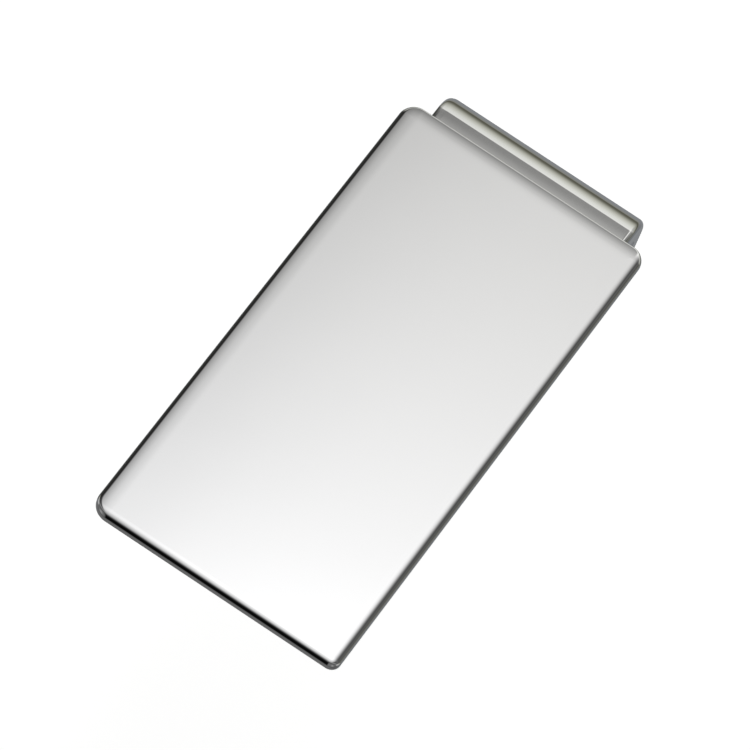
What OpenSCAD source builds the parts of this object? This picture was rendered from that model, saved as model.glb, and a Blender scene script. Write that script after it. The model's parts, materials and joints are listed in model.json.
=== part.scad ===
// Spring-hinged money clip: a polished face plate with a hinge frame fixed behind it,
// and a sprung rear arm that turns on a cross pin and presses folded notes to the plate.
// The clip lies on its back: +Z is out of the polished face, +Y points to the hinge end,
// and the origin is under the middle of the whole clip, on the surface it rests on.

/* [Face plate] */
// Width of the polished plate
plate_w = 25.5; // [18:0.1:34]
// Length of the polished plate
plate_l = 53; // [44:0.5:70]
// Thickness of the polished plate
plate_t = 0.95; // [0.8:0.05:1.6]
// Radius of the plate's corners, seen from the front
plate_corner_r = 1.5; // [0.8:0.1:4]
// Rounding of the plate's polished edges
plate_edge_r = 0.4; // [0.2:0.05:0.4]
// Rounding of the plate's edges on its back
plate_back_r = 0.25; // [0.1:0.05:0.35]

/* [Whole clip] */
// Height from the resting surface to the polished face
clip_h = 7.6; // [6.8:0.1:10]

/* [Hinge frame] */
// How far the frame sets in from each side of the plate
frame_inset = 2.25; // [1:0.05:3.5]
// How far the hinge end stands out past the plate
frame_out = 4.95; // [3:0.05:6]
// Outer radius where the frame turns down at the hinge end
frame_bend_r = 3.35; // [1.2:0.05:4]
// Thickness of the frame's leaf, cheeks and end wall
frame_wall = 0.8; // [0.7:0.05:1.2]
// Length of the cheeks along the clip
cheek_l = 9.4; // [8.5:0.1:12]
// Rounding of the frame's upright corners and of its long upper edges
frame_corner_r = 0.7; // [0.3:0.1:1.1]
// Distance left between the end of the brazed leaf and the arm's crest
leaf_gap = 3.8; // [1:0.1:8]

/* [Hinge] */
// Radius of the hinge pin
pin_r = 0.8; // [0.6:0.05:1]
// Radius of the pin's head and of the cap on its other end
pin_head_r = 1.45; // [1.2:0.05:1.7]
// Thickness of the pin's head and cap
pin_head_t = 0.35; // [0.25:0.05:0.5]
// Running clearance of what turns on the pin, on the radius
run_gap = 0.03; // [0.02:0.01:0.08]
// Seat clearance of what is pressed or set in a hole, on the radius
seat_gap = 0.01; // [0.005:0.005:0.03]
// Side play between neighbours on the pin
side_gap = 0.05; // [0.03:0.01:0.12]
// Thickness of each thrust washer
washer_t = 0.3; // [0.2:0.05:0.5]
// Outer radius of each thrust washer
washer_r = 1.9; // [1.5:0.05:2.1]
// Outer radius of the bush in each ear
bush_r = 1.2; // [1.05:0.05:1.4]
// Thickness of the bush's flange
bush_flange_t = 0.25; // [0.15:0.05:0.4]
// Radius of the bush's flange
bush_flange_r = 1.8; // [1.5:0.05:2]

/* [Torsion spring] */
// Diameter of the spring wire
wire_d = 0.5; // [0.4:0.05:0.6]
// Mean radius of the two coils
coil_r = 1.7; // [1.6:0.05:1.75]
// Turns in each coil
coil_turns = 6; // [4:1:7]
// Distance from the middle of the clip to where each coil starts
coil_start = 3.4; // [2.4:0.1:4]
// Pitch of the coils, from one turn to the next
coil_pitch = 0.62; // [0.62:0.02:0.7]
// Room between the spring's legs and the arm's sheet
leg_room = 0.25; // [0.1:0.05:0.4]
// Length of each spring leg, from the pin to its hook
leg_l = 4; // [3.4:0.1:4.6]

/* [Rear arm] */
// Thickness of the arm's sheet
arm_t = 0.8; // [0.7:0.05:1.1]
// Width of the arm at its tip
arm_tip_w = 14; // [10:0.5:16]
// Distance from the plate's plain end to the arm's tip
arm_short = 4.6; // [4:0.1:9]
// Length of the arm's flat root, from the pin towards the tip
root_l = 19; // [15:0.5:24]
// Length of the flat crest that carries the grip pad
crest_l = 5.6; // [5:0.1:8]
// Length of the lifting lip beyond the crest
lip_l = 4.4; // [3:0.1:6]
// How far the lifting lip drops away from the plate
lip_drop = 1.5; // [0.8:0.1:2.5]
// Radius of the ears around the pin
ear_r = 2.1; // [1.9:0.05:2.2]
// Length of the ears along the arm
ear_l = 6.6; // [6:0.1:8]

/* [Grip pad] */
// Width of the pad, across the clip
pad_w = 12; // [8:0.5:13]
// Length of the pad, along the clip
pad_l = 4.6; // [4:0.1:4.8]
// Thickness of the pad
pad_t = 0.6; // [0.45:0.05:0.8]
// Clearance left between the closed pad and the plate
pad_gap = 0.05; // [0.03:0.01:0.1]
// Distance from the middle to each pad rivet
rivet_x = 3.8; // [2.5:0.1:4.2]
// Radius of the rivets' shanks
rivet_r = 0.45; // [0.35:0.05:0.6]
// Radius of the rivets' heads
rivet_head_r = 0.8; // [0.7:0.05:0.9]
// Thickness of the rivets' heads
rivet_head_t = 0.25; // [0.15:0.05:0.3]

/* [Hidden] */

// Overlap that lets a cut run clear of the faces it passes
cut = 0.5;

// Where the plate lies: the whole clip is centred on the origin along Y
plate_y = -frame_out / 2;
plate_end = plate_y + plate_l / 2;
plate_tip = plate_y - plate_l / 2;
plate_back = clip_h - plate_t;

// The hinge frame's outside and its hollow
frame_w = plate_w - 2 * frame_inset;
frame_end = plate_end + frame_out;
cheek_y = frame_end - cheek_l;
hollow_w = frame_w - 2 * frame_wall;
hollow_end = frame_end - frame_wall;
hollow_r = max(frame_bend_r - frame_wall, 0.3);
ceiling = plate_back - frame_wall;

// The hinge axis keeps the ears just clear of the end wall
wall_gap = 0.4;
pin_y = hollow_end - ear_r - wall_gap;
pin_z = arm_t + leg_room + wire_d / 2 + coil_r;

// Places along the pin, from the cheeks inwards
washer_x = hollow_w / 2 - side_gap;
ear_x = washer_x - washer_t - side_gap;
bush_x = ear_x + side_gap / 2;
bush_l = arm_t + side_gap + bush_flange_t;
spool_l = 2 * (bush_x - bush_l - side_gap);
spool_gap = 0.15;
spool_r = coil_r - wire_d / 2 - spool_gap;

// The arm's side outline, as points of the middle of its sheet
root_w = 2 * ear_x;
root_back = 0.4;
root_end = pin_y - root_back;
crest_z = plate_back - pad_gap - pad_t - arm_t / 2;
lip_tip = plate_tip + arm_short;
crest_tip = lip_tip + lip_l;
crest_start = crest_tip + crest_l;
crest_mid = (crest_tip + crest_start) / 2;
arm_path = [
    [root_end, arm_t / 2],
    [pin_y - root_l, arm_t / 2],
    [crest_start, crest_z],
    [crest_tip, crest_z],
    [lip_tip, crest_z - lip_drop]
];
pad_z = crest_z + arm_t / 2;
rivet_sink = 0.1;
leaf_l = cheek_y - crest_start - leaf_gap;
leaf_w = frame_w - 2 * frame_corner_r;

// The spring's route on one side: hook, leg and coil, then the bridge in the hollow's bend
wire_steps = 16;
wire_gap = wire_d / 2 + 0.05;
hook_y = pin_y - leg_l;
hook_z = pin_z - coil_r;
hook_bend = 0.3;
hook_back = 0.1;
bridge_bend = 0.5;
coil_end = coil_start + coil_turns * coil_pitch;
bridge_y = hollow_end - hollow_r + (hollow_r - wire_gap) * cos(45);
bridge_z = ceiling - hollow_r + (hollow_r - wire_gap) * sin(45);
coil_steps = (coil_turns + 0.25) * wire_steps;
half_route = concat(
    [[ear_x - hook_back, hook_y, hook_z], [coil_end + hook_bend, hook_y, hook_z],
        [coil_end, hook_y + hook_bend, hook_z]],
    [for (i = [0 : coil_steps])
        let (a = 360 * i / wire_steps - 90)
        [coil_end - (coil_end - coil_start) * i / coil_steps,
            pin_y + coil_r * cos(a), pin_z + coil_r * sin(a)]]
);

// Flat outline of a rectangle with round corners
module rounded_rect(w, l, r) {
    square([w - 2 * r, l], center = true);
    square([w, l - 2 * r], center = true);
    for (x = [-1, 1], y = [-1, 1])
        translate([x * (w / 2 - r), y * (l / 2 - r)]) circle(r = r, $fn = 48);
}

// Half of a plate's section, from its middle out to one rounded rim
module half_section(w, t, top, back) {
    translate([0, back]) square([w, t - top - back]);
    translate([0, back]) square([w - top, t - back]);
    square([w - back, t - top]);
    translate([w - top, t - top]) circle(r = top, $fn = 32);
    translate([w - back, back]) circle(r = back, $fn = 32);
}

module full_section(w, t, top, back) {
    half_section(w / 2, t, top, back);
    mirror([1, 0]) half_section(w / 2, t, top, back);
}

// Plate with round corners whose whole rim is rounded, more on top than on its back
module pillow_plate(w, l, t, corner, top, back) {
    rotate([90, 0, 0]) linear_extrude(l - 2 * corner, center = true)
        full_section(w, t, top, back);
    rotate([90, 0, 90]) linear_extrude(w - 2 * corner, center = true)
        full_section(l, t, top, back);
    for (x = [-1, 1], y = [-1, 1])
        translate([x * (w / 2 - corner), y * (l / 2 - corner), 0])
            rotate_extrude($fn = 64) half_section(corner, t, top, back);
}

// Extrudes an outline drawn in Y and Z across the clip, centred on the middle
module across(w) {
    rotate([90, 0, 90]) linear_extrude(w, center = true) children();
}

// Strip of even thickness through a list of points, mitred where it bends
module strip(points, t) {
    n = len(points);
    function way(i) = let (v = points[i + 1] - points[i]) v / norm(v);
    function side(i) = let (a = way(max(i - 1, 0)), b = way(min(i, n - 2)))
        [-a[1] - b[1], a[0] + b[0]] / (1 + a * b);
    polygon(concat(
        [for (i = [0 : n - 1]) points[i] + t / 2 * side(i)],
        [for (i = [n - 1 : -1 : 0]) points[i] - t / 2 * side(i)]));
}

// Shaft across the clip, from one side position to another
module cross_rod(r, x0, x1, y, z) {
    translate([x0, y, z]) rotate([0, 90, 0]) cylinder(r = r, h = x1 - x0, $fn = 48);
}

// Ring on the hinge axis, from one side position to another
module pin_ring(r_out, r_in, x0, x1) {
    difference() {
        cross_rod(r_out, x0, x1, pin_y, pin_z);
        cross_rod(r_in, x0 - cut, x1 + cut, pin_y, pin_z);
    }
}

module face_plate() {
    color([0.86, 0.86, 0.87])
        translate([0, plate_y, plate_back])
            pillow_plate(plate_w, plate_l, plate_t, plate_corner_r, plate_edge_r, plate_back_r);
}

// Side outline of the frame's box end, with the bend at the top of the end wall
module box_outline() {
    foot_r = frame_wall;
    difference() {
        translate([cheek_y, 0]) square([cheek_l, plate_back]);
        translate([frame_end - frame_bend_r, plate_back - frame_bend_r])
            square(frame_bend_r + cut);
        translate([frame_end - foot_r, -cut]) square([foot_r + cut, foot_r + cut]);
    }
    translate([frame_end - frame_bend_r, plate_back - frame_bend_r])
        circle(r = frame_bend_r, $fn = 64);
    translate([frame_end - foot_r, foot_r]) circle(r = foot_r, $fn = 48);
}

// Side outline of the box's hollow, open at the foot and towards the notes
module hollow_outline() {
    difference() {
        translate([cheek_y - cut, -cut]) square([hollow_end - cheek_y + cut, ceiling + cut]);
        translate([hollow_end - hollow_r, ceiling - hollow_r]) square(hollow_r + cut);
    }
    translate([hollow_end - hollow_r, ceiling - hollow_r]) circle(r = hollow_r, $fn = 64);
}

module hinge_frame() {
    nose_r = 2.4;
    foot_edge = 0.1;
    color([0.8, 0.8, 0.81])
        difference() {
            union() {
                intersection() {
                    across(frame_w + 2 * cut) box_outline();
                    translate([0, frame_end - cheek_l, -cut]) linear_extrude(clip_h)
                        rounded_rect(frame_w, 2 * cheek_l, frame_corner_r);
                    translate([0, frame_end + cut, 0]) rotate([90, 0, 0])
                        linear_extrude(cheek_l + 2 * cut)
                            full_section(frame_w, plate_back, frame_corner_r, foot_edge);
                }
                translate([0, cheek_y - leaf_l / 2 + cut, ceiling])
                    linear_extrude(frame_wall)
                        rounded_rect(leaf_w, leaf_l + 2 * cut, nose_r);
            }
            across(hollow_w) hollow_outline();
            cross_rod(pin_r + seat_gap, -frame_w, frame_w, pin_y, pin_z);
            for (side = [-1, 1])
                translate([side * (frame_w / 2 - pin_head_t), pin_y, pin_z])
                    rotate([0, side * 90, 0])
                        cylinder(r = pin_head_r + seat_gap, h = pin_head_t + cut, $fn = 48);
        }
}

module hinge_pin() {
    head_x = frame_w / 2;
    color([0.7, 0.7, 0.72]) {
        cross_rod(pin_r, -head_x, head_x, pin_y, pin_z);
        cross_rod(pin_head_r, -head_x, pin_head_t - head_x, pin_y, pin_z);
    }
}

module pin_cap() {
    color([0.7, 0.7, 0.72])
        pin_ring(pin_head_r, pin_r + seat_gap, frame_w / 2 - pin_head_t, frame_w / 2);
}

module thrust_washer(side) {
    color([0.78, 0.66, 0.4])
        mirror([side < 0 ? 1 : 0, 0, 0])
            pin_ring(washer_r, pin_r + run_gap, washer_x - washer_t, washer_x);
}

module spring_spool() {
    color([0.3, 0.3, 0.32])
        pin_ring(spool_r, pin_r + run_gap, -spool_l / 2, spool_l / 2);
}

// Round wire swept along a list of points, with flat ends
module wire(route, d) {
    sides = 8;
    n = len(route);
    function way(i) = let (v = route[min(i + 1, n - 1)] - route[max(i - 1, 0)]) v / norm(v);
    function flat(v) = v / norm(v);
    function out(i) = let (v = route[i] - [route[i][0], pin_y, pin_z + 0.001])
        flat(cross(way(i), flat(v)));
    rings = [for (i = [0 : n - 1]) let (u = out(i), w = cross(way(i), u))
        for (k = [0 : sides - 1]) let (a = 360 * k / sides)
            route[i] + d / 2 * (cos(a) * u + sin(a) * w)];
    polyhedron(rings, concat(
        [[for (k = [0 : sides - 1]) k]],
        [for (i = [0 : n - 2], k = [0 : sides - 1]) let (j = (k + 1) % sides)
            [i * sides + k, (i + 1) * sides + k, (i + 1) * sides + j, i * sides + j]],
        [[for (k = [sides - 1 : -1 : 0]) (n - 1) * sides + k]]));
}

module torsion_spring() {
    full = concat(half_route,
        [[coil_start - bridge_bend, bridge_y, bridge_z]],
        [[bridge_bend - coil_start, bridge_y, bridge_z]],
        [for (i = [len(half_route) - 1 : -1 : 0])
            [-half_route[i][0], half_route[i][1], half_route[i][2]]]);
    color([0.45, 0.45, 0.47]) wire(full, wire_d);
}

// One ear of the arm, which carries a bush on the pin
module ear_outline() {
    ear_foot = 1.4 * arm_t;
    translate([pin_y, pin_z]) circle(r = ear_r, $fn = 64);
    polygon([[pin_y - ear_l, ear_foot], [pin_y - ear_l, 0], [root_end, 0],
        [pin_y + ear_r, pin_z], [pin_y - ear_r, pin_z]]);
}

// The arm's outline from above: full width at the root, narrower at the tip
module arm_plan() {
    tip_r = 2;
    polygon([[-root_w / 2, pin_y + ear_r], [-root_w / 2, pin_y - ear_l],
        [-arm_tip_w / 2, crest_start], [-arm_tip_w / 2, lip_tip - arm_t / 2 + tip_r],
        [arm_tip_w / 2, lip_tip - arm_t / 2 + tip_r], [arm_tip_w / 2, crest_start],
        [root_w / 2, pin_y - ear_l], [root_w / 2, pin_y + ear_r]]);
    translate([0, lip_tip - arm_t / 2 + 2 * tip_r])
        rounded_rect(arm_tip_w, 4 * tip_r, tip_r);
}

module clip_arm() {
    hook_hole_r = wire_d / 2 + 0.08;
    color([0.76, 0.76, 0.78])
        difference() {
            union() {
                intersection() {
                    across(root_w + 2 * cut) strip(arm_path, arm_t);
                    translate([0, 0, -cut]) linear_extrude(clip_h + cut) arm_plan();
                }
                for (side = [-1, 1])
                    translate([side * (ear_x - arm_t / 2), 0, 0]) across(arm_t) ear_outline();
            }
            cross_rod(bush_r + seat_gap, -root_w, root_w, pin_y, pin_z);
            cross_rod(hook_hole_r, -root_w, root_w, hook_y, hook_z);
            for (side = [-1, 1])
                translate([side * rivet_x, crest_mid, crest_z - arm_t])
                    cylinder(r = rivet_r + seat_gap, h = 2 * arm_t, $fn = 32);
        }
}

module pivot_bush(side) {
    color([0.8, 0.68, 0.42])
        mirror([side < 0 ? 1 : 0, 0, 0]) {
            pin_ring(bush_r, pin_r + run_gap, bush_x - bush_l, bush_x);
            pin_ring(bush_flange_r, pin_r + run_gap, bush_x - bush_l,
                bush_x - bush_l + bush_flange_t);
        }
}

module grip_pad() {
    pad_corner_r = 0.9;
    color([0.12, 0.12, 0.13])
        translate([0, crest_mid, pad_z])
            difference() {
                linear_extrude(pad_t) rounded_rect(pad_w, pad_l, pad_corner_r);
                for (side = [-1, 1])
                    translate([side * rivet_x, 0, 0]) {
                        translate([0, 0, -cut])
                            cylinder(r = rivet_r + seat_gap, h = pad_t + 2 * cut, $fn = 32);
                        translate([0, 0, pad_t - rivet_head_t - rivet_sink])
                            cylinder(r = rivet_head_r + seat_gap, h = pad_t, $fn = 32);
                    }
            }
}

module pad_rivet(side) {
    rivet_top = pad_z + pad_t - rivet_sink;
    rivet_foot = crest_z - arm_t / 2 - rivet_head_t;
    color([0.7, 0.7, 0.72])
        translate([side * rivet_x, crest_mid, rivet_foot]) {
            cylinder(r = rivet_r, h = rivet_top - rivet_foot, $fn = 32);
            cylinder(r = rivet_head_r, h = rivet_head_t, $fn = 32);
            translate([0, 0, rivet_top - rivet_foot - rivet_head_t])
                cylinder(r = rivet_head_r, h = rivet_head_t, $fn = 32);
        }
}

face_plate();
hinge_frame();
hinge_pin();
pin_cap();
thrust_washer(-1);  // thrust_washer_left
thrust_washer(1);  // thrust_washer_right
spring_spool();
torsion_spring();
clip_arm();
pivot_bush(-1);  // pivot_bush_left
pivot_bush(1);  // pivot_bush_right
grip_pad();
pad_rivet(-1);  // pad_rivet_left
pad_rivet(1);  // pad_rivet_right
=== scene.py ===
import json
import math

import bmesh
import bpy
from mathutils import Matrix, Vector


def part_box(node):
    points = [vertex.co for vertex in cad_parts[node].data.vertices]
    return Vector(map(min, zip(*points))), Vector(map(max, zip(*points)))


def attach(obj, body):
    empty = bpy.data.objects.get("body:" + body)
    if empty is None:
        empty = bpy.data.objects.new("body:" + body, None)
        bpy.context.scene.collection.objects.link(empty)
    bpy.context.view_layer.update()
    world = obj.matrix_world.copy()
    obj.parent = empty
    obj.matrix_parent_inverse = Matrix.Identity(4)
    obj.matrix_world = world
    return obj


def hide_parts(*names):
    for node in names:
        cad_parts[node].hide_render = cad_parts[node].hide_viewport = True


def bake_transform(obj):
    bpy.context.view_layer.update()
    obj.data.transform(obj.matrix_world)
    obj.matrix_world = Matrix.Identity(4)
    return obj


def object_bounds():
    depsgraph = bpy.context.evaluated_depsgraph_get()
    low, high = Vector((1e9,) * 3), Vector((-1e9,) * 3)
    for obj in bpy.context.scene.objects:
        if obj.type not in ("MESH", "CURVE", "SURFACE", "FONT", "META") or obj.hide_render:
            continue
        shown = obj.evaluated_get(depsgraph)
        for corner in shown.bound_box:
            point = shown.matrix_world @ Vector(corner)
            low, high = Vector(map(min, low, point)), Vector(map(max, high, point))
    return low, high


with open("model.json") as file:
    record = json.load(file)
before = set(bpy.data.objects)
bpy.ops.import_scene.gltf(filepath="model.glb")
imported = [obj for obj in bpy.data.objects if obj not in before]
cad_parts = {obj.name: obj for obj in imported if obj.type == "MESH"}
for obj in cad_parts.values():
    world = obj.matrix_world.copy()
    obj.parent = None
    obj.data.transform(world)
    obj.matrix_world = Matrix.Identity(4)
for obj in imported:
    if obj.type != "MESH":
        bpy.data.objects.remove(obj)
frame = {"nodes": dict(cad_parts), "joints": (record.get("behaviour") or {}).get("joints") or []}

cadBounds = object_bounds()
print("frame loaded:", len(frame["nodes"]), "parts")

mm = 0.001  # lengths below are in millimetres and are scaled by this on the way into a mesh


class Signal:
    # wraps a number socket, so that a plain expression adds its Math nodes
    def __init__(self, graph, socket):
        self.graph = graph
        self.socket = socket

    def maths(self, operation, first, second):
        return self.graph.node("Math", {"operation": operation}, {0: first, 1: second}).out()

    def __add__(self, other):
        return self.maths("ADD", self, other)

    def __radd__(self, other):
        return self.maths("ADD", other, self)

    def __sub__(self, other):
        return self.maths("SUBTRACT", self, other)

    def __rsub__(self, other):
        return self.maths("SUBTRACT", other, self)

    def __mul__(self, other):
        return self.maths("MULTIPLY", self, other)

    def __rmul__(self, other):
        return self.maths("MULTIPLY", other, self)

    def __truediv__(self, other):
        return self.maths("DIVIDE", self, other)


class Step:
    # a placed node, whose outputs come back as signals
    def __init__(self, graph, node):
        self.graph = graph
        self.node = node

    def out(self, name=0):
        return Signal(self.graph, self.node.outputs[name])


class Graph:
    def __init__(self, tree):
        self.tree = tree
        self.tree.nodes.clear()

    def node(self, kind, settings=None, sockets=None):
        made = self.tree.nodes.new("ShaderNode" + kind)
        for name, value in (settings or {}).items():
            if name == "stops":
                self.setStops(made.color_ramp, value)
            else:
                setattr(made, name, value)
        for name, value in (sockets or {}).items():
            if isinstance(value, Signal):
                self.tree.links.new(value.socket, made.inputs[name])
            else:
                made.inputs[name].default_value = value
        return Step(self, made)

    def setStops(self, ramp, stops):
        while len(ramp.elements) > 1:
            ramp.elements.remove(ramp.elements[0])
        for i, (place, grey) in enumerate(stops):
            stop = ramp.elements[0] if i == 0 else ramp.elements.new(place)
            stop.position = place
            stop.color = (*grey, 1) if isinstance(grey, tuple) else (grey, grey, grey, 1)

    def mapRange(self, value, low, high, toLow, toHigh, easing="LINEAR"):
        return self.node("MapRange", {"interpolation_type": easing}, {
            "Value": value, "From Min": low, "From Max": high, "To Min": toLow, "To Max": toHigh}).out()

    def mixColour(self, factor, first, second):
        mix = self.node("Mix", {"data_type": "RGBA"}, {0: factor, 6: first, 7: second})
        return mix.out(2)

    def coordinates(self, stretch=(1, 1, 1), turn=(0, 0, 0)):
        place = self.node("TexCoord").out("Object")
        return self.node("Mapping", {}, {"Vector": place, "Scale": stretch, "Rotation": turn}).out()


def finish(name, base, roughness, metallic, recipe=None, **extras):
    # a surface finish: recipe(graph, shader) adds what varies over the surface
    material = bpy.data.materials.new(name)
    material.use_nodes = True
    graph = Graph(material.node_tree)
    sockets = {"Base Color": (*base, 1), "Roughness": roughness, "Metallic": metallic}
    sockets.update(extras)
    shader = graph.node("BsdfPrincipled", {}, sockets)
    graph.node("OutputMaterial", {}, {"Surface": shader.out("BSDF")})
    if recipe:
        recipe(graph, shader)
    return material


def feed(shader, socket, signal):
    shader.graph.tree.links.new(signal.socket, shader.node.inputs[socket])


def bumpOf(graph, height, strength, distance):
    return graph.node("Bump", {}, {"Height": height, "Strength": strength, "Distance": distance}).out()


polish = {
    "hazeSize": 260,        # size of the buffing haze, in patches per metre
    "hazeDetail": 4.0,
    "hazeRoughness": 0.6,
    "hazeRange": (0.3, 0.75),
    "hazeShare": 0.7,       # how much of the dulling is haze, the rest being hairlines
    "hairSize": 900,        # fine hairlines left by the buff, per metre across them
    "hairLength": 45,       # the same along them
    "hairScale": 6.0,
    "hairDetail": 3.0,
    "hairRange": (0.35, 0.7),
    "hairDepth": 0.00000012,
    "waveSize": 95,         # very slow waviness of the sheet
    "waveDetail": 1.0,
    "waveDepth": 0.000004,
}


def mirrorRecipe(roughLow, roughHigh, hairStrength, waveStrength, hairTurn=0.0):
    def recipe(graph, shader):
        # buffing haze: broad, faint patches of slightly duller metal
        haze = graph.node("TexNoise", {}, {"Vector": graph.coordinates(), "Scale": polish["hazeSize"],
                                           "Detail": polish["hazeDetail"],
                                           "Roughness": polish["hazeRoughness"]}).out()
        # hairlines: noise stretched along the length of the clip
        stretched = graph.coordinates((polish["hairSize"], polish["hairLength"], polish["hairSize"]),
                                      (0, 0, hairTurn))
        hair = graph.node("TexNoise", {}, {"Vector": stretched, "Scale": polish["hairScale"],
                                           "Detail": polish["hairDetail"]}).out()
        fine = graph.mapRange(hair, *polish["hairRange"], 0, 1)
        wear = graph.mapRange(haze, *polish["hazeRange"], 0, 1)
        dulling = polish["hazeShare"] * wear + (1 - polish["hazeShare"]) * fine
        feed(shader, "Roughness", roughLow + (roughHigh - roughLow) * dulling)
        # slow waviness under the hairlines
        wave = graph.node("TexNoise", {}, {"Vector": graph.coordinates(), "Scale": polish["waveSize"],
                                           "Detail": polish["waveDetail"]}).out()
        slow = graph.node("Bump", {}, {"Height": wave, "Strength": waveStrength,
                                       "Distance": polish["waveDepth"]})
        top = graph.node("Bump", {}, {"Height": hair, "Strength": hairStrength,
                                      "Distance": polish["hairDepth"], "Normal": slow.out()})
        feed(shader, "Normal", top.out())
    return recipe


# scale and detail of each pattern, the roughness as (least, added), and the bump as (strength, metres)
surfaces = {
    "turned": {"scale": 2600.0, "distortion": 1.2, "detail": 2.0, "rough": (0.18, 0.12),
               "bump": (0.25, 0.0000015)},
    "bronze": {"scale": 1400.0, "detail": 5.0, "range": (0.3, 0.7), "rough": (0.26, 0.2),
               "bump": (0.2, 0.000003), "dark": (0.52, 0.34, 0.13, 1), "light": (0.72, 0.5, 0.24, 1)},
    "polymer": {"scale": 5200.0, "detail": 3.0, "rough": (0.42, 0.2), "bump": (0.35, 0.000004)},
    "wire": {"stretch": (400, 2600, 2600), "scale": 1.0, "detail": 4.0, "rough": (0.2, 0.18),
             "bump": (0.2, 0.000002), "dark": (0.36, 0.36, 0.39, 1), "light": (0.55, 0.54, 0.54, 1)},
    "rubber": {"scale": 900.0, "detail": 5.0, "range": (0.45, 0.8), "rough": (0.6, 0.25),
               "grainScale": 4200.0, "bump": (0.5, 0.000012),
               "dark": (0.018, 0.018, 0.02, 1), "light": (0.05, 0.05, 0.052, 1)},
}


def noiseOf(graph, look, stretch=(1, 1, 1)):
    return graph.node("TexNoise", {}, {"Vector": graph.coordinates(stretch), "Scale": look["scale"],
                                       "Detail": look["detail"]}).out()


def roughFrom(shader, look, pattern):
    least, added = look["rough"]
    feed(shader, "Roughness", least + added * pattern)


def turnedRecipe(graph, shader):
    # faint rings from turning, around the pin's own axis
    look = surfaces["turned"]
    ring = graph.node("TexWave", {"wave_type": "RINGS", "rings_direction": "X"},
                      {"Vector": graph.coordinates(), "Scale": look["scale"],
                       "Distortion": look["distortion"], "Detail": look["detail"]}).out()
    roughFrom(shader, look, ring)
    feed(shader, "Normal", bumpOf(graph, ring, *look["bump"]))


def bronzeRecipe(graph, shader):
    look = surfaces["bronze"]
    patch = noiseOf(graph, look)
    share = graph.mapRange(patch, *look["range"], 0, 1)
    feed(shader, "Base Color", graph.mixColour(share, look["dark"], look["light"]))
    roughFrom(shader, look, patch)
    feed(shader, "Normal", bumpOf(graph, patch, *look["bump"]))


def polymerRecipe(graph, shader):
    look = surfaces["polymer"]
    grain = noiseOf(graph, look)
    roughFrom(shader, look, grain)
    feed(shader, "Normal", bumpOf(graph, grain, *look["bump"]))


def wireRecipe(graph, shader):
    # die lines along the wire, and a slightly blued skin
    look = surfaces["wire"]
    skin = noiseOf(graph, look, look["stretch"])
    feed(shader, "Base Color", graph.mixColour(skin, look["dark"], look["light"]))
    roughFrom(shader, look, skin)
    feed(shader, "Normal", bumpOf(graph, skin, *look["bump"]))


def rubberRecipe(graph, shader):
    look = surfaces["rubber"]
    grain = graph.node("TexVoronoi", {"feature": "F1"},
                       {"Vector": graph.coordinates(), "Scale": look["grainScale"]}).out()
    dust = noiseOf(graph, look)
    share = graph.mapRange(dust, *look["range"], 0, 1)
    feed(shader, "Base Color", graph.mixColour(share, look["dark"], look["light"]))
    roughFrom(shader, look, dust)
    feed(shader, "Normal", bumpOf(graph, grain, *look["bump"]))


finishes = {
    "plate": finish("plateMirror", (0.93, 0.93, 0.935), 0.06, 1.0, mirrorRecipe(0.02, 0.05, 0.35, 0.5)),
    "frame": finish("framePolish", (0.9, 0.9, 0.9), 0.08, 1.0, mirrorRecipe(0.03, 0.07, 0.4, 0.4, 1.57)),
    "arm": finish("armPolish", (0.9, 0.9, 0.905), 0.1, 1.0, mirrorRecipe(0.08, 0.18, 0.5, 0.6)),
    "pin": finish("turnedSteel", (0.8, 0.8, 0.81), 0.22, 1.0, turnedRecipe),
    "bronze": finish("bushBronze", (0.6, 0.4, 0.18), 0.3, 1.0, bronzeRecipe),
    "polymer": finish("spoolPolymer", (0.05, 0.05, 0.055), 0.5, 0.0, polymerRecipe),
    "wire": finish("springWire", (0.45, 0.45, 0.47), 0.25, 1.0, wireRecipe),
    "rubber": finish("gripRubber", (0.03, 0.03, 0.032), 0.7, 0.0, rubberRecipe),
}
print("finishes made:", len(finishes))


def boxMm(node):
    # the size of a CAD part, so that its skin sits exactly where the solid does
    low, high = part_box(node)
    return low / mm, high / mm


plateLow, plateHigh = boxMm("face_plate")
frameLow, frameHigh = boxMm("hinge_frame")
pinHigh = boxMm("hinge_pin")[1]
armLow, armHigh = boxMm("clip_arm")
padLow, padHigh = boxMm("grip_pad")
spoolLow, spoolHigh = boxMm("spring_spool")
springHigh = boxMm("torsion_spring")[1]
hinge = frame["joints"][0]
pinY = hinge["pos_m"][1] / mm
pinZ = hinge["pos_m"][2] / mm


def arc(centre, radius, start, end, steps):
    # points along a round stretch, with angles in degrees
    points = []
    for i in range(steps + 1):
        a = math.radians(start + (end - start) * i / steps)
        points.append((centre[0] + radius * math.cos(a), centre[1] + radius * math.sin(a)))
    return points


def circle(centre, radius, steps):
    return arc(centre, radius, 0, 360, steps)[:-1]


def roundedRect(width, length, radius, steps=12, centre=(0, 0)):
    # the radius is one number, or one for each corner, anticlockwise from the upper right
    radii = radius if isinstance(radius, (list, tuple)) else [radius] * 4
    points = []
    for i, (sx, sy) in enumerate(((1, 1), (-1, 1), (-1, -1), (1, -1))):
        r = radii[i]
        corner = (centre[0] + sx * (width / 2 - r), centre[1] + sy * (length / 2 - r))
        points += arc(corner, r, 90 * i, 90 * i + 90, steps)
    return points


def fromMesh(name, mesh):
    piece = bpy.data.objects.new(name, mesh)
    bpy.context.scene.collection.objects.link(piece)
    return piece


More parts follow.
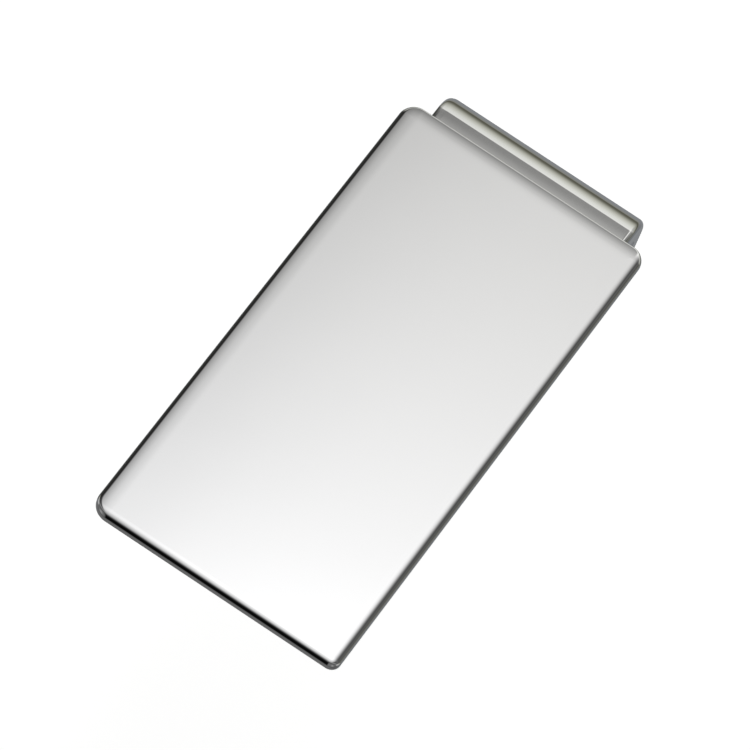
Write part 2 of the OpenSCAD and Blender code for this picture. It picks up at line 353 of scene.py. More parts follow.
def solidFrom(name, rings, closed=False):
    # skins a list of equal rings of points, and caps both ends unless they join up
    build = bmesh.new()
    rows = [[build.verts.new(Vector(p) * mm) for p in ring] for ring in rings]
    count = len(rings[0])
    pairs = list(zip(rows, rows[1:]))
    if closed:
        pairs.append((rows[-1], rows[0]))
    for first, second in pairs:
        for k in range(count):
            build.faces.new((first[k], first[(k + 1) % count], second[(k + 1) % count], second[k]))
    if not closed:
        build.faces.new(list(reversed(rows[0])))
        build.faces.new(rows[-1])
    bmesh.ops.recalc_face_normals(build, faces=build.faces)
    mesh = bpy.data.meshes.new(name)
    build.to_mesh(mesh)
    build.free()
    return fromMesh(name, mesh)


def prism(name, outline, low, high, across="x"):
    # extrudes an outline of (y, z) points along x, or of (x, y) points along z
    if across == "x":
        rings = [[(side, a, b) for a, b in outline] for side in (low, high)]
    else:
        rings = [[(a, b, side) for a, b in outline] for side in (low, high)]
    return solidFrom(name, rings)


def turned(name, profile, centre, axis="x", steps=96):
    # revolves a closed profile of (along, radius) points about an axis through centre
    rings = []
    for i in range(steps):
        a = 2 * math.pi * i / steps
        ring = []
        for along, radius in profile:
            u, v = radius * math.cos(a), radius * math.sin(a)
            if axis == "x":
                ring.append((centre[0] + along, centre[1] + u, centre[2] + v))
            else:
                ring.append((centre[0] + u, centre[1] + v, centre[2] + along))
        rings.append(ring)
    return solidFrom(name, rings, closed=True)


def applied(piece):
    # bakes the piece's modifiers into its mesh
    bpy.context.view_layer.update()
    graph = bpy.context.evaluated_depsgraph_get()
    mesh = bpy.data.meshes.new_from_object(piece.evaluated_get(graph))
    piece.modifiers.clear()
    old = piece.data
    piece.data = mesh
    bpy.data.meshes.remove(old)
    return piece


def combined(piece, other, operation):
    change = piece.modifiers.new("combine", "BOOLEAN")
    change.operation = operation
    change.solver = "EXACT"
    change.object = other
    applied(piece)
    mesh = other.data
    bpy.data.objects.remove(other)
    bpy.data.meshes.remove(mesh)
    return piece


def softened(piece, width, steps=3, angle=30):
    # rounds every edge sharper than the angle, as tumbling and buffing do
    bevel = piece.modifiers.new("soften", "BEVEL")
    bevel.width = width * mm
    bevel.segments = steps
    bevel.limit_method = "ANGLE"
    bevel.angle_limit = math.radians(angle)
    bevel.use_clamp_overlap = True
    bevel.harden_normals = False
    return applied(piece)


shading = {"sharpAngle": 38, "weight": 80}


def dressed(piece, body, nodes, material, crossing=None):
    # smooth shading, finish, and the piece's place in the frame
    # a piece given two points for crossing is baked where it stands and left out of every body; the points
    # themselves are not read here
    mesh = piece.data
    mesh.materials.clear()
    mesh.materials.append(material)
    mesh.shade_smooth()
    mesh.set_sharp_from_angle(angle=math.radians(shading["sharpAngle"]))
    weighted = piece.modifiers.new("normals", "WEIGHTED_NORMAL")
    weighted.keep_sharp = False
    weighted.weight = shading["weight"]
    if crossing:
        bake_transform(piece)
    else:
        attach(piece, body)
    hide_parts(*nodes)
    print("made", piece.name)
    return piece


plateLook = {
    "cornerRadii": (1.5, 1.6, 1.75, 0.95),   # hinge right, hinge left, tip left, tip right
    "edgeRadius": 0.4,     # rounding of the polished rim
    "backRadius": 0.25,    # rounding of the rim on the back
    "rollSteps": 28,
    "rimSteps": 12,
    "cornerSteps": 20,
    # how wide the buffed face falls away along each edge, and how far it has fallen at the rim
    "left": (2.0, 0.023),
    "right": (1.1, 0.05),
    "tip": (0.95, 0.04),
    "hinge": (2.0, 0.012),
    "hingeTightness": 0.45,   # the rim at the hinge end is rounded less far in than the others
    "hingeRun": 3,            # how far from the hinge end that has faded out
    "flatFrom": 2.1,          # the face is flat further in than this
    "leastCorner": 0.35,
    "rimDepth": 0.06,         # how much deeper than it is wide the polished rim is
}


def fallAt(inset, side, look):
    width, drop = look[side]
    share = max(0.0, 1 - (inset - look["edgeRadius"]) / (width - look["edgeRadius"]))
    return drop * share ** 3


def makeFacePlate(look):
    width = plateHigh.x - plateLow.x
    length = plateHigh.y - plateLow.y
    midY = (plateHigh.y + plateLow.y) / 2
    top, bottom = plateHigh.z, plateLow.z
    edge, back = look["edgeRadius"], look["backRadius"]

    def ring(inset):
        radii = [max(radius - inset, look["leastCorner"]) for radius in look["cornerRadii"]]
        outline = roundedRect(width - 2 * inset, length - 2 * inset, radii, look["cornerSteps"], (0, midY))
        spare = (1 - look["hingeTightness"]) * min(inset, edge)
        run = look["hingeRun"]
        return [(x, y + spare * max(0, 1 - (plateHigh.y - inset - y) / run)) for x, y in outline]

    def faceHeight(x, y):
        fall = fallAt(x - plateLow.x, "left", look) + fallAt(plateHigh.x - x, "right", look)
        fall += fallAt(y - plateLow.y, "tip", look) + fallAt(plateHigh.y - y, "hinge", look)
        return top - fall

    def slopeAngle(first, second):
        run = math.hypot(second[0] - first[0], second[1] - first[1])
        return math.atan2(first[2] - second[2], run)

    rings = []
    widest = look["flatFrom"]
    for i in range(look["rollSteps"] + 1):
        inset = widest - (widest - edge) * i / look["rollSteps"]
        rings.append([(x, y, faceHeight(x, y)) for x, y in ring(inset)])
    # the rim carries on from the slope that the face has reached
    inner, outer = rings[-1], ring(0)
    starts = [slopeAngle(a, b) for a, b in zip(rings[-2], inner)]
    low = top - edge - look["rimDepth"]
    for i in range(1, look["rimSteps"] + 1):
        row = []
        for (x0, y0, z0), (x1, y1), start in zip(inner, outer, starts):
            a = start + (math.pi / 2 - start) * i / look["rimSteps"]
            out = (math.sin(a) - math.sin(start)) / (1 - math.sin(start))
            down = 1 - math.cos(a) / math.cos(start)
            row.append((x0 + (x1 - x0) * out, y0 + (y1 - y0) * out, z0 + (low - z0) * down))
        rings.append(row)
    for i in range(look["rimSteps"] + 1):
        a = math.pi / 2 * i / look["rimSteps"]
        outline = ring(back * (1 - math.cos(a)))
        rings.append([(x, y, bottom + back * (1 - math.sin(a))) for x, y in outline])
    piece = solidFrom("facePlateSkin", rings)
    return dressed(piece, "frame", ["face_plate"], finishes["plate"])


makeFacePlate(plateLook)


frameLook = {
    "wall": 0.8,
    "bendRadius": 3.35,
    "shoulderFall": 0.053,        # the shoulder slopes a little towards the bend
    "footRadius": 0.8,
    "uprightRadii": (0.9, 0.65),  # of the upright corners, left and right
    "edgeRadii": (0.35, 0.5),     # of the long upper edges, left and right
    "boxLength": 9.4,
    "leafCorner": 2.4,
    "leafSoftness": 0.1,
    "innerSoftness": 0.05,
    "boreRadius": 0.81,
    "headRadius": 1.46,
    "headDepth": 0.35,
    "underPlate": 0.1,            # the shoulder starts to slope this far in under the plate's edge
    "spare": 1,                   # overlap that lets one shape run into the next
    "innerSteps": 2,
    "innerAngle": 40,
    "sideSteps": 16,
    "footSteps": 12,
    "bendSteps": 60,
    "bendEnd": 88,                # the bend stops just short of level, in degrees
    "hollowSteps": 32,
    "boreSteps": 64,
}


def boxOutline(endInset, topInset, look):
    # side outline of the box end, as (y, z), drawn in from its end and its top
    end, top = frameHigh.y - endInset, frameHigh.z - topInset
    near = frameHigh.y - look["boxLength"]
    foot, bend = look["footRadius"], look["bendRadius"]
    y, z = frameHigh.y - bend, frameHigh.z - look["shoulderFall"] - bend
    outline = [(near, 0), (end - foot, 0)]
    outline += arc((end - foot, foot), foot, -90, 0, look["footSteps"])[1:]
    for a, b in arc((0, 0), 1, 0, look["bendEnd"], look["bendSteps"]):
        outline.append((y + a * (bend - endInset), z + b * (bend - topInset)))
    return outline + [(plateHigh.y - look["underPlate"], top), (near, top)]


def makeHingeFrame(look):
    top, half = frameHigh.z, frameHigh.x
    near = frameHigh.y - look["boxLength"]
    bend, wall = look["bendRadius"], look["wall"]
    rings = []
    for side, upright, edge in zip((-1, 1), look["uprightRadii"], look["edgeRadii"]):
        turns = range(look["sideSteps"] + 1)
        for i in turns if side < 0 else reversed(turns):
            a = math.pi / 2 * i / look["sideSteps"]
            out = half - upright + upright * math.cos(a)
            reach = min(1, max(0, (out - half + edge) / edge))
            outline = boxOutline(upright * (1 - math.sin(a)), edge * (1 - math.sqrt(1 - reach ** 2)), look)
            rings.append([(side * out, y, z) for y, z in outline])
    body = solidFrom("hingeFrameSkin", rings)
    leafNear = frameLow.y
    leafLength = near + look["spare"] - leafNear
    leafPlan = roundedRect(2 * (half - max(look["uprightRadii"])), leafLength, look["leafCorner"],
                           look["sideSteps"], (0, leafNear + leafLength / 2))
    leaf = softened(prism("leaf", leafPlan, top - wall, top, "z"), look["leafSoftness"])
    combined(body, leaf, "UNION")
    inner = bend - wall
    ceiling = top - wall
    past = look["spare"]
    hollow = [(near - past, -past), (frameHigh.y - wall, -past)]
    hollow += arc((frameHigh.y - bend, ceiling - inner), inner, 0, 90, look["hollowSteps"])
    hollow += [(near - past, ceiling)]
    combined(body, prism("hollow", hollow, wall - half, half - wall), "DIFFERENCE")
    bore = circle((pinY, pinZ), look["boreRadius"], look["boreSteps"])
    combined(body, prism("bore", bore, -2 * half, 2 * half), "DIFFERENCE")
    for side in (-1, 1):
        seat = circle((pinY, pinZ), look["headRadius"], look["boreSteps"])
        low, high = sorted((side * (half - look["headDepth"]), side * 2 * half))
        combined(body, prism("seat", seat, low, high), "DIFFERENCE")
    softened(body, look["innerSoftness"], look["innerSteps"], look["innerAngle"])
    return dressed(body, "frame", ["hinge_frame"], finishes["frame"])


makeHingeFrame(frameLook)


def ringProfile(low, high, inner, outer, chamfer):
    # section of a ring or collar with broken edges, as (along, radius) points
    return [(low, inner), (high, inner), (high, outer - chamfer), (high - chamfer, outer),
            (low + chamfer, outer), (low, outer - chamfer)]


pinLook = {
    "radius": 0.8,
    "headRadius": 1.45,
    "headDepth": 0.35,
    "crown": 0.08,
    "core": 0.02,          # radius of the hair-thin hole left along the turning axis
    "flatShare": 0.6,      # the head is flat out to this share of its radius,
    "slopeShare": 0.9,     # and halfway down its crown at this share
    "seatGap": 0.01,
}


def makePin(look):
    half = pinHigh.x
    crown = look["crown"]
    shaft, head = look["radius"], look["headRadius"]
    under = look["headDepth"] - half
    profile = [(-half, look["core"]), (-half, head * look["flatShare"]),
               (crown / 2 - half, head * look["slopeShare"]), (crown - half, head), (under, head),
               (under, shaft), (half - crown, shaft), (half, shaft - crown), (half, look["core"])]
    piece = turned("hingePinSkin", profile, (0, pinY, pinZ))
    return dressed(piece, "frame", ["hinge_pin"], finishes["pin"])


def makeCap(look):
    half = pinHigh.x
    profile = ringProfile(half - look["headDepth"], half, look["radius"] + look["seatGap"],
                          look["headRadius"], look["crown"])
    piece = turned("pinCapSkin", profile, (0, pinY, pinZ))
    return dressed(piece, "frame", ["pin_cap"], finishes["pin"])


makePin(pinLook)
makeCap(pinLook)


ringLook = {
    "bore": 0.83,
    "washerEdge": 0.04,
    "spoolEdge": 0.1,
    "sleeve": 1.2,         # outer radius of a bush's sleeve
    "flange": 0.25,        # thickness of its flange
    "bushEdge": 0.05,
}


def makeWasher(node, look):
    low, high = boxMm(node)
    profile = ringProfile(low.x, high.x, look["bore"], (high.z - low.z) / 2, look["washerEdge"])
    piece = turned(node.replace("thrust_washer_", "thrustWasher_"), profile, (0, pinY, pinZ))
    return dressed(piece, "frame", [node], finishes["bronze"])


def makeBush(side, node, look):
    low, high = boxMm(node)
    flange, sleeve, inner = (high.z - low.z) / 2, look["sleeve"], look["bore"]
    thick, edge = look["flange"], look["bushEdge"]
    profile = [(low.x, inner), (low.x, flange - edge), (low.x + edge, flange), (low.x + thick, flange),
               (low.x + thick, sleeve), (high.x - edge, sleeve), (high.x, sleeve - edge), (high.x, inner)]
    if side < 0:
        profile = [(low.x + high.x - along, radius) for along, radius in profile]
    piece = turned(node.replace("pivot_bush_", "pivotBush_"), profile, (0, pinY, pinZ))
    return dressed(piece, "arm", [node], finishes["bronze"])


for side, word in ((-1, "left"), (1, "right")):
    makeWasher("thrust_washer_" + word, ringLook)
    makeBush(side, "pivot_bush_" + word, ringLook)


def makeSpool(look):
    radius = (spoolHigh.z - spoolLow.z) / 2
    profile = ringProfile(spoolLow.x, spoolHigh.x, look["bore"], radius, look["spoolEdge"])
    piece = turned("springSpoolSkin", profile, (0, pinY, pinZ))
    return dressed(piece, "frame", ["spring_spool"], finishes["polymer"])


makeSpool(ringLook)


springLook = {
    "wire": 0.5,
    "coilRadius": 1.7,
    "turns": 6,
    "extraTurn": 0.25,       # the further part of a turn to where the wire leaves for the bridge
    "coilStart": 3.4,
    "pitch": 0.62,
    "legLength": 4.0,
    # the leg's way into the coil, as (beyond the coil's end, towards the pin)
    "legBend": ((0.5, 0), (0.3, 0.03), (0.1, 0.15), (0.02, 0.35), (0, 0.6)),
    "bridgeGap": 0.05,       # between the bridge and the inside of the frame's bend
    "bridgeDrift": 0.05,     # how far the wire moves inwards on its way to the bridge
    # its way into the bridge, as (in from the coil's start, below the bridge)
    "bridgeBend": ((0.2, 0.08), (0.5, 0)),
    "sides": 14,
    "stepsPerTurn": 40,
}


def wireAlong(name, path, look):
    # round wire swept along a path, its rings carried on without twist
    rings = []
    side = None
    for i, here in enumerate(path):
        ahead = (path[min(i + 1, len(path) - 1)] - path[max(i - 1, 0)]).normalized()
        if side is None:
            side = ahead.orthogonal()
        side = (side - ahead * side.dot(ahead)).normalized()
        other = ahead.cross(side)
        ring = []
        for k in range(look["sides"]):
            a = 2 * math.pi * k / look["sides"]
            ring.append(here + (side * math.cos(a) + other * math.sin(a)) * look["wire"] / 2)
        rings.append(ring)
    return solidFrom(name, rings)


def makeSpring(look):
    radius = look["coilRadius"]
    coilEnd = look["coilStart"] + look["turns"] * look["pitch"]
    hookY, hookZ = pinY - look["legLength"], pinZ - radius
    steps = int((look["turns"] + look["extraTurn"]) * look["stepsPerTurn"])
    route = [(springHigh.x, hookY, hookZ)]
    route += [(coilEnd + out, hookY + along, hookZ) for out, along in look["legBend"]]
    for i in range(steps + 1):
        a = 2 * math.pi * i / look["stepsPerTurn"] - math.pi / 2
        x = coilEnd - (coilEnd - look["coilStart"]) * i / steps
        route.append((x, pinY + radius * math.cos(a), pinZ + radius * math.sin(a)))
    inner = frameLook["bendRadius"] - frameLook["wall"]
    reach = (inner - look["wire"] / 2 - look["bridgeGap"]) * math.cos(math.pi / 4)
    bridgeY = frameHigh.y - frameLook["bendRadius"] + reach
    bridgeZ = frameHigh.z - frameLook["bendRadius"] + reach
    startX, startY, startZ = route[-1]
    for t in (0.25, 0.5, 0.75):
        y = startY + (bridgeY - startY) * t
        z = startZ + (bridgeZ - startZ) * t
        route.append((startX - look["bridgeDrift"] * t, y, z))
    route += [(startX - inwards, bridgeY, bridgeZ - below) for inwards, below in look["bridgeBend"]]
    route.append((0, bridgeY, bridgeZ))
    # each half of the spring winds up about the pin, from its still bridge to its moving leg
    for name, hand in (("torsionSpringRight", 1), ("torsionSpringLeft", -1)):
        piece = wireAlong(name, [Vector((hand * x, y, z)) for x, y, z in route], look)
        ends = [Vector((hand * x, pinY, pinZ)) * mm for x in (look["coilStart"], coilEnd)]
        dressed(piece, "frame", ["torsion_spring"], finishes["wire"], ends)


makeSpring(springLook)


armLook = {
    "sheet": 0.8,
    "tipWidth": 14.0,
    "tipCorner": 2.0,
    "rootLength": 19.0,
    "crestLength": 5.6,
    "lipLength": 4.4,
    "lipDrop": 1.5,
    "tipInset": 0.1,         # the strip's middle ends this far in from the tip,
    "rootBack": 0.4,         # and at its root this far short of the pin
    "earRadius": 2.1,
    "earLength": 6.6,
    "earArc": (-8, 155),     # the ear's round edge, in degrees
    "earFoot": 1.4,          # height of the ear's far end, in sheets
    "bushSeat": 1.21,
    "hookHole": 0.33,
    "rivetSeat": 0.46,
    "rivetX": 3.8,
    "bendRadius": 4.0,
    "softness": 0.14,
    "softSteps": 4,
    "spare": 1,              # overlap that lets one shape run past another
    "cornerSteps": 16,
    "earSteps": 32,
    "holeSteps": 48,
    "rivetSteps": 40,
}


def filleted(points, radius, steps=8, most=0.45):
    # replaces each inner corner of an open path by a smooth curve that touches both its sides
    # no curve takes up more than the share most of a side
    path = [Vector(points[0])]
    for before, here, after in zip(points, points[1:], points[2:]):
        before, here, after = Vector(before), Vector(here), Vector(after)
        first, second = (before - here).normalized(), (after - here).normalized()
        half = math.acos(max(-1, min(1, first.dot(second)))) / 2
        side = min((before - here).length, (after - here).length)
        reach = min(radius / math.tan(half), side * most)
        start, end = here + first * reach, here + second * reach
        for i in range(steps + 1):
            t = i / steps
            path.append(start * (1 - t) ** 2 + here * 2 * t * (1 - t) + end * t ** 2)
    path.append(Vector(points[-1]))
    return path


def stripOutline(path, thickness):
    # both sides of a bent strip, as one closed outline
    left, right = [], []
    for i, here in enumerate(path):
        ahead = (path[min(i + 1, len(path) - 1)] - path[max(i - 1, 0)]).normalized()
        side = Vector((-ahead.y, ahead.x)) * thickness / 2
        left.append(tuple(here + side))
        right.append(tuple(here - side))
    return left + right[::-1]


def makeArm(look):
    sheet, half, spare = look["sheet"], armHigh.x, look["spare"]
    tip = armLow.y + look["tipInset"]
    crestTip = tip + look["lipLength"]
    crestStart = crestTip + look["crestLength"]
    crest = padLow.z - sheet / 2
    rootEnd = pinY - look["rootBack"]
    corners = [(rootEnd, sheet / 2), (pinY - look["rootLength"], sheet / 2), (crestStart, crest),
               (crestTip, crest), (tip, crest - look["lipDrop"])]
    outline = stripOutline(filleted(corners, look["bendRadius"]), sheet)
    body = prism("clipArmSkin", outline, -half - spare, half + spare)
    corner, tipHalf = look["tipCorner"], look["tipWidth"] / 2
    earEnd, past = pinY - look["earLength"], pinY + 3 * spare
    plan = [(half, past), (-half, past), (-half, earEnd), (-tipHalf, crestStart)]
    plan += arc((corner - tipHalf, armLow.y + corner), corner, 180, 270, look["cornerSteps"])
    plan += arc((tipHalf - corner, armLow.y + corner), corner, 270, 360, look["cornerSteps"])
    plan += [(tipHalf, crestStart), (half, earEnd)]
    combined(body, prism("plan", plan, -spare, crest + 2 * spare, "z"), "INTERSECT")
    for side in (-1, 1):
        ear = arc((pinY, pinZ), look["earRadius"], *look["earArc"], look["earSteps"])
        ear += [(earEnd, sheet * look["earFoot"]), (earEnd, 0), (rootEnd, 0)]
        low, high = sorted((side * half, side * (half - sheet)))
        combined(body, prism("ear", ear, low, high), "UNION")
    hook = (pinY - springLook["legLength"], pinZ - springLook["coilRadius"])
    for centre, size in (((pinY, pinZ), look["bushSeat"]), (hook, look["hookHole"])):
        hole = prism("hole", circle(centre, size, look["holeSteps"]), -half - spare, half + spare)
        combined(body, hole, "DIFFERENCE")
    for side in (-1, 1):
        seat = circle((side * look["rivetX"], (crestTip + crestStart) / 2), look["rivetSeat"],
                      look["rivetSteps"])
        combined(body, prism("hole", seat, crest - 2 * spare, crest + 2 * spare, "z"), "DIFFERENCE")
    softened(body, look["softness"], look["softSteps"])
    return dressed(body, "arm", ["clip_arm"], finishes["arm"])


makeArm(armLook)


padLook = {
    "corner": 0.9,
    "ribs": 7,
    "ribDepth": 0.12,
    "ribRise": 0.1,          # the grooves' cutter starts this far above the pad
    "softness": 0.04,
    "headSeat": 0.81,
    "headDepth": 0.35,
    "shankGap": 0.01,
    "spare": 1,
    "softSteps": 2,
    "cornerSteps": 10,
    "holeSteps": 40,
}
rivetLook = {
    "shank": 0.45,
    "head": 0.8,
    "headHeight": 0.25,
    "dome": 0.08,
    "core": 0.02,            # radius of the hair-thin hole left along the turning axis
    "flatShare": 0.5,        # the head is flat out to this share of its radius,
    "domeShare": 0.92,       # and falls by the dome's height at this share
    "steps": 64,
}


def makePad(look):
    width, length = padHigh.x - padLow.x, padHigh.y - padLow.y
    midY = (padHigh.y + padLow.y) / 2
    low, high = padLow.z - look["spare"], padHigh.z + look["spare"]
    outline = roundedRect(width, length, look["corner"], look["cornerSteps"], (0, midY))
    body = prism("gripPadSkin", outline, padLow.z, padHigh.z, "z")
    # grooves across the pad leave ribs that bite on the notes
    pitch, depth, rise = length / look["ribs"], look["ribDepth"], padHigh.z + look["ribRise"]
    for i in range(1, look["ribs"]):
        y = padLow.y + pitch * i
        groove = [(y - depth, rise), (y, padHigh.z - depth), (y + depth, rise)]
        combined(body, prism("groove", groove, -width, width), "DIFFERENCE")
    for side in (-1, 1):
        centre = (side * armLook["rivetX"], midY)
        shank = circle(centre, rivetLook["shank"] + look["shankGap"], look["holeSteps"])
        seat = circle(centre, look["headSeat"], look["holeSteps"])
        combined(body, prism("hole", shank, low, high, "z"), "DIFFERENCE")
        combined(body, prism("hole", seat, padHigh.z - look["headDepth"], high, "z"), "DIFFERENCE")
    softened(body, look["softness"], look["softSteps"])
    return dressed(body, "arm", ["grip_pad"], finishes["rubber"])


def makeRivet(node, look):
    low, high = boxMm(node)
    centre = ((low.x + high.x) / 2, (low.y + high.y) / 2, 0)
    core, shank, head = look["core"], look["shank"], look["head"]
    flat, fallen = head * look["flatShare"], head * look["domeShare"]
    tall, dome = look["headHeight"], look["dome"]
    profile = [(low.z, core), (low.z, flat), (low.z + dome, fallen), (low.z + tall, head),
               (low.z + tall, shank), (high.z - tall, shank), (high.z - tall, head),
               (high.z - dome, fallen), (high.z, flat), (high.z, core)]
    name = "padRivet" + ("Left" if centre[0] < 0 else "Right")
    piece = turned(name, profile, centre, "z", look["steps"])
    return dressed(piece, "arm", [node], finishes["pin"])


makePad(padLook)
makeRivet("pad_rivet_left", rivetLook)
makeRivet("pad_rivet_right", rivetLook)


# The sky is laid out by height in degrees, which runs from -90, straight down, over 0, the far
# horizon, 90, straight up, and 180, the near horizon, to 270, straight down again. Across that,
# x, y and z are those of the direction: x to the right, y away, z up. A pair of places is where
# a change starts and where it is complete.
studio = {
    "floorSize": 40.0,
    "floorDrop": 0.034,      # low enough for the arm to swing right open above it
    "floorColour": (0.9, 0.9, 0.9),
    "floorRoughness": 0.9,
    "floorGlow": 0.85,
    "heights": (-90, 270),
    "skyStops": [
        (-90, 0.15), (-58, 0.25), (-6, 0.25), (-1, 0.09), (8, 0.14), (15, 0.3), (26, 0.53), (38, 0.72),
        (49, 0.8), (51, 0.76), (52, 0.235), (53.2, 0.235), (54, 0.3), (55.2, 0.48), (56.4, 0.67),
        (58.1, 0.8), (58.9, 0.885), (59.5, 0.955), (59.8, 1.04), (60.2, 1.11), (66, 1.11), (78, 0.75),
        (86, 0.5), (97, 0.24), (108, 0.09), (116, 0.03), (128, 0.003), (180, 0.002), (188, 0.03),
        (195, 0.1), (208, 0.13), (268, 0.15),
    ],
    "tintStops": [
        (-90, (0.97, 1.0, 1.03)), (-20, (0.95, 0.99, 1.04)), (-5, (1.0, 1.0, 0.9)), (0, (1.0, 1.0, 0.74)),
        (15, (1.0, 1.0, 0.85)), (38, (1.0, 1.01, 0.95)), (56, (1.0, 0.995, 0.975)), (60, (1.0, 1.0, 1.0)),
    ],
    "horizon": (-0.02, 0.02),
    "farSide": (-0.1, 0.1),
    "lampFade": [            # the lamp weakens to the left, by x
        (-0.26, 0.14), (-0.2, 0.42), (-0.16, 0.7), (-0.14, 0.81), (-0.134, 0.87), (-0.128, 0.96),
        (-0.119, 1.05), (-0.105, 1.12), (-0.085, 1.12), (-0.03, 1.06),
    ],
    "lampEnd": (-0.09, 0.27, 1.0, 0.1),        # and falls to a tenth on the right, by x
    "fadeRise": (12, 32, 0.3, 1.0),            # both fades are weak near the horizon, by height
    "fadeRelief": (0.575, 0.655, 0, 0.6),      # and towards the hinge end, by y
    # the dark gap under the lamp closes to the right
    "gap": {"x": (-0.09, -0.03), "rise": (42, 48), "fall": (54.5, 55.8)},
    # a dark screen on the left, and how much light it takes away
    "screen": {"strength": 0.78, "x": (-0.2, -0.45), "z": (-0.65, -0.45),
               "rise": (0.1, 0.3), "fall": (0.56, 0.64)},
    # the floor is duller on the right
    "dullFloor": {"strength": 0.25, "x": (0.2, 0.5)},
    # on the near side the sky is dark in the middle only, with a grey wall to the right and left of that
    "wall": {"strength": 0.14, "rise": (112, 122), "fall": (184, 190),
             "right": (-0.05, 0.06), "left": (-0.2, -0.35)},
    # soft light from both sides, and a share of it from the near corners
    "sideGlow": {"strength": 0.5, "wide": (0.88, 0.96), "y": (-0.25, -0.1)},
    "cornerGlow": {"share": 0.45, "wide": (0.4, 0.65), "y": (-0.5, -0.65)},
    "glowRise": (-0.1, 0.1),
}


def makeFloor(look):
    size = look["floorSize"] / 2
    z = cadBounds[0][2] - look["floorDrop"]
    mesh = bpy.data.meshes.new("floor")
    corners = [(x * size, y * size, z) for x, y in ((-1, -1), (1, -1), (1, 1), (-1, 1))]
    mesh.from_pydata(corners, [], [(0, 1, 2, 3)])
    floor = fromMesh("floor", mesh)
    paint = finish("floorPaint", look["floorColour"], look["floorRoughness"], 0.0,
                   **{"Emission Color": (1, 1, 1, 1), "Emission Strength": look["floorGlow"]})
    mesh.materials.append(paint)
    floor.visible_glossy = False


def band(graph, value, rise, fall):
    # 0, then 1 between the two spans, then 0 again
    return graph.mapRange(value, *rise, 0, 1) * graph.mapRange(value, *fall, 1, 0)


def larger(graph, first, second):
    return graph.node("Math", {"operation": "MAXIMUM"}, {0: first, 1: second}).out()


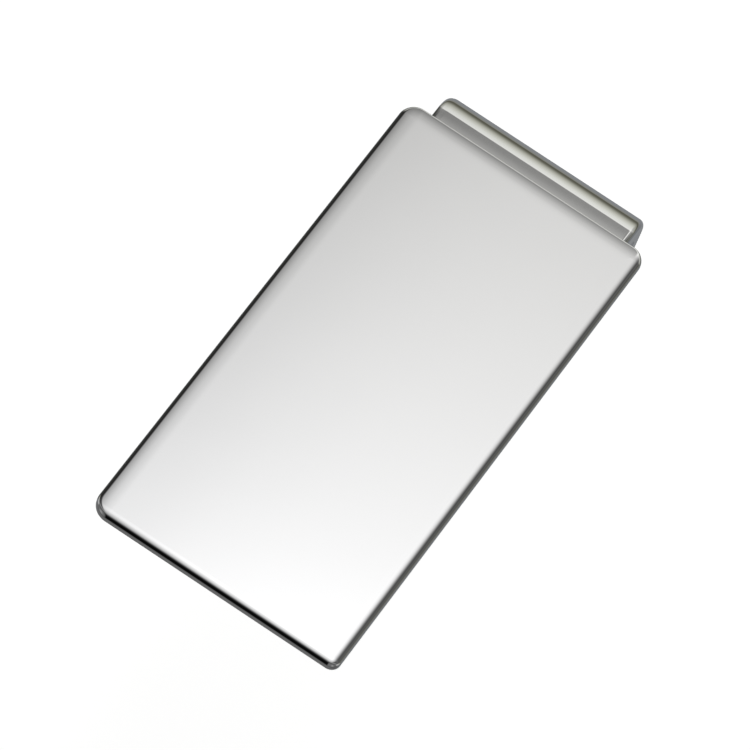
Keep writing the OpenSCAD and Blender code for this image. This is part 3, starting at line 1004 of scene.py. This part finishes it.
def makeSky(look):
    world = bpy.data.worlds.new("studio")
    bpy.context.scene.world = world
    world.use_nodes = True
    graph = Graph(world.node_tree)
    way = graph.node("TexCoord").out("Generated")
    parts = graph.node("SeparateXYZ", {}, {0: way})
    x, y, z = parts.out("X"), parts.out("Y"), parts.out("Z")
    least, most = look["heights"]
    angle = graph.node("Math", {"operation": "ARCTAN2"}, {0: z, 1: y}).out() * (180 / math.pi)
    height = graph.node("Math", {"operation": "WRAP"}, {0: angle, 1: most, 2: least}).out()

    def ramp(name):
        stops = [((place - least) / (most - least), value) for place, value in look[name]]
        place = (height - least) / (most - least)
        return graph.node("ValToRGB", {"stops": stops}, {"Fac": place}).out("Color")

    light = ramp("skyStops")
    gap = look["gap"]
    closing = graph.mapRange(x, *gap["x"], 0, 1, "SMOOTHSTEP")
    closing = closing * band(graph, height, gap["rise"], gap["fall"])
    light = light + (1 - light) * closing
    # the lamp's fades to the left and right, for all that is above the floor on the far side
    # the left one is halved in its ramp and doubled after it, which keeps the ramp's values under 1
    fade = [((place + 1) / 2, value / 2) for place, value in look["lampFade"]]
    left = 2 * graph.node("ValToRGB", {"stops": fade}, {"Fac": (x + 1) / 2}).out("Color")
    right = graph.mapRange(x, *look["lampEnd"], "SMOOTHSTEP")
    above = graph.mapRange(z, *look["horizon"], 0, 1)
    far = graph.mapRange(y, *look["farSide"], 0, 1)
    lowered = graph.mapRange(height, *look["fadeRise"]) * (1 - graph.mapRange(y, *look["fadeRelief"]))
    light = light * (1 - above * far * lowered * (1 - left * right))
    screen, dull = look["screen"], look["dullFloor"]
    dark = graph.mapRange(x, *screen["x"], 0, 1) * graph.mapRange(z, *screen["z"], 0, 1)
    dark = dark * band(graph, y, screen["rise"], screen["fall"])
    duller = graph.mapRange(x, *dull["x"], 0, 1) * (1 - above)
    light = light * (1 - screen["strength"] * dark) * (1 - dull["strength"] * duller)
    wall = look["wall"]
    beside = larger(graph, graph.mapRange(x, *wall["right"], 0, 1), graph.mapRange(x, *wall["left"], 0, 1))
    light = light + wall["strength"] * band(graph, height, wall["rise"], wall["fall"]) * beside
    wide = graph.node("Math", {"operation": "ABSOLUTE"}, {0: x}).out()

    def glowFrom(place):
        across = graph.mapRange(wide, *place["wide"], 0, 1, "SMOOTHSTEP")
        return across * graph.mapRange(y, *place["y"], 0, 1)

    side, corner = look["sideGlow"], look["cornerGlow"]
    lit = larger(graph, glowFrom(side), corner["share"] * glowFrom(corner))
    lit = lit * graph.mapRange(z, *look["glowRise"], 0, 1)
    light = light + (side["strength"] - light) * lit
    sky = graph.node("Background", {}, {"Color": ramp("tintStops"), "Strength": light}).out("Background")
    # the camera itself sees plain white behind the clip
    plain = graph.node("Background", {}, {"Color": (1, 1, 1, 1), "Strength": 1.0}).out("Background")
    seen = graph.node("LightPath").out("Is Camera Ray")
    both = graph.node("MixShader", {}, {0: seen, 1: sky, 2: plain}).out()
    graph.node("OutputWorld", {}, {"Surface": both})


cameraLook = {
    "target": (-0.1, -2.115, 7.6),   # on the plate's face, close to its middle
    "distance": 732.3,
    "azimuth": -12.79,
    "elevation": 57.49,
    "roll": 22.56,
    "lens": 403.4,
    "sensor": 36,
    "clip": (0.01, 100),             # nearest and furthest that it sees, in metres
}


def makeCamera(look):
    azimuth, elevation = math.radians(look["azimuth"]), math.radians(look["elevation"])
    ahead = Vector((math.sin(azimuth) * math.cos(elevation), math.cos(azimuth) * math.cos(elevation),
                    -math.sin(elevation)))
    level = Vector((ahead.y, -ahead.x, 0)).normalized()
    rise = level.cross(ahead)
    roll = math.radians(look["roll"])
    right = level * math.cos(roll) + rise * math.sin(roll)
    up = rise * math.cos(roll) - level * math.sin(roll)
    data = bpy.data.cameras.new("camera")
    data.lens = look["lens"]
    data.sensor_width = look["sensor"]
    data.clip_start, data.clip_end = look["clip"]
    camera = bpy.data.objects.new("camera", data)
    bpy.context.scene.collection.objects.link(camera)
    turn = Matrix((right, up, -ahead)).transposed().to_4x4()
    place = Vector(look["target"]) * mm - ahead * look["distance"] * mm
    camera.matrix_world = Matrix.Translation(place) @ turn
    bpy.context.scene.camera = camera


makeFloor(studio)
makeSky(studio)
makeCamera(cameraLook)
bpy.context.scene.view_settings.view_transform = "Standard"
print("studio set")
